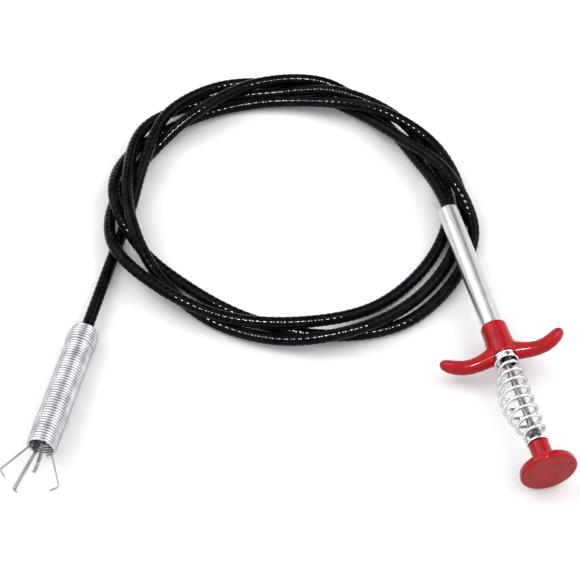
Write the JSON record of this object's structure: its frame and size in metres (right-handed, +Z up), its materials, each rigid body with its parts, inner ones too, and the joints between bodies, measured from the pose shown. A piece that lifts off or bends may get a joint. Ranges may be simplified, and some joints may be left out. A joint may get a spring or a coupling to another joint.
{
  "type": "drain auger",
  "caption": "Flexible drain claw tool: a push-button handle with finger wings, a long coiled black shaft and a coil-bodied head with hooked spring claws.",
  "frame": {"origin": "on the surface the tool lies on, below the middle of the box round its rigid pieces", "axes": "+Z up from the surface; +X from the claw head across to the handle; +Y from the button and the claws towards the loops of the shaft"},
  "size_m": [0.3089, 0.3193, 0.032],
  "materials": {
    "red_plastic": "glossy",
    "aluminium": "satin",
    "chrome": "polished",
    "steel": "bright",
    "coil_steel": "bright, close-wound",
    "spring_steel": "oiled",
    "brass": "satin",
    "nylon": "natural",
    "black_vinyl": "glossy, ribbed by the coil under it"
  },
  "bodies": {
    "handle": {"handle_tube": "aluminium", "grip": "red_plastic", "spring_cup": "chrome", "guide_bush": "nylon", "shaft_ferrule": "brass", "flex_shaft": "black_vinyl", "head_coil": "coil_steel", "head_socket": "brass", "cable_guide": "nylon", "return_spring": "chrome"},
    "plunger": {"knob": "red_plastic", "plunger_rod": "steel", "lock_nut": "steel", "spring_washer": "chrome", "stop_collar": "steel", "cable_crimp": "brass", "drive_cable": "steel"},
    "claw_carrier": {"claw_carrier": "brass", "claw_cable": "steel"},
    "claw_1": {"claw_1": "spring_steel"},
    "claw_2": {"claw_2": "spring_steel"},
    "claw_3": {"claw_3": "spring_steel"},
    "claw_4": {"claw_4": "spring_steel"}
  },
  "joints": [
    {"name": "plunger_slide", "type": "slide", "parent": "handle", "child": "plunger", "axis": [-0.2181, 0.9759, -0.0099], "range_m": [0, 0.022], "stiffness_N_per_m": 400, "springref_m": -0.02, "deforming": ["return_spring"]},
    {"name": "claw_slide", "type": "slide", "parent": "handle", "child": "claw_carrier", "axis": [-0.2008, -0.9784, 0.0488], "range_m": [0, 0.022]},
    {"name": "claw_1_hinge", "type": "hinge", "parent": "claw_carrier", "child": "claw_1", "pos_m": [-0.13274, -0.04976, 0.01189], "axis": [-0.1798, -0.0122, -0.9836], "range_deg": [0, 10]},
    {"name": "claw_2_hinge", "type": "hinge", "parent": "claw_carrier", "child": "claw_2", "pos_m": [-0.13177, -0.05009, 0.00925], "axis": [0.7659, -0.1879, -0.6149], "range_deg": [0, 10]},
    {"name": "claw_3_hinge", "type": "hinge", "parent": "claw_carrier", "child": "claw_3", "pos_m": [-0.12902, -0.05042, 0.01394], "axis": [-0.8979, 0.2038, 0.3903], "range_deg": [0, 10]},
    {"name": "claw_4_hinge", "type": "hinge", "parent": "claw_carrier", "child": "claw_4", "pos_m": [-0.12749, -0.05089, 0.01075], "axis": [0.2465, -0.0022, 0.9691], "range_deg": [0, 10]}
  ],
  "couplings": [
    {"joint": "claw_slide", "follows": "plunger_slide", "ratio": 1},
    {"joint": "claw_1_hinge", "follows": "plunger_slide", "rad_per_m": 7.9},
    {"joint": "claw_2_hinge", "follows": "plunger_slide", "rad_per_m": 7.9},
    {"joint": "claw_3_hinge", "follows": "plunger_slide", "rad_per_m": 7.9},
    {"joint": "claw_4_hinge", "follows": "plunger_slide", "rad_per_m": 7.9}
  ]
}
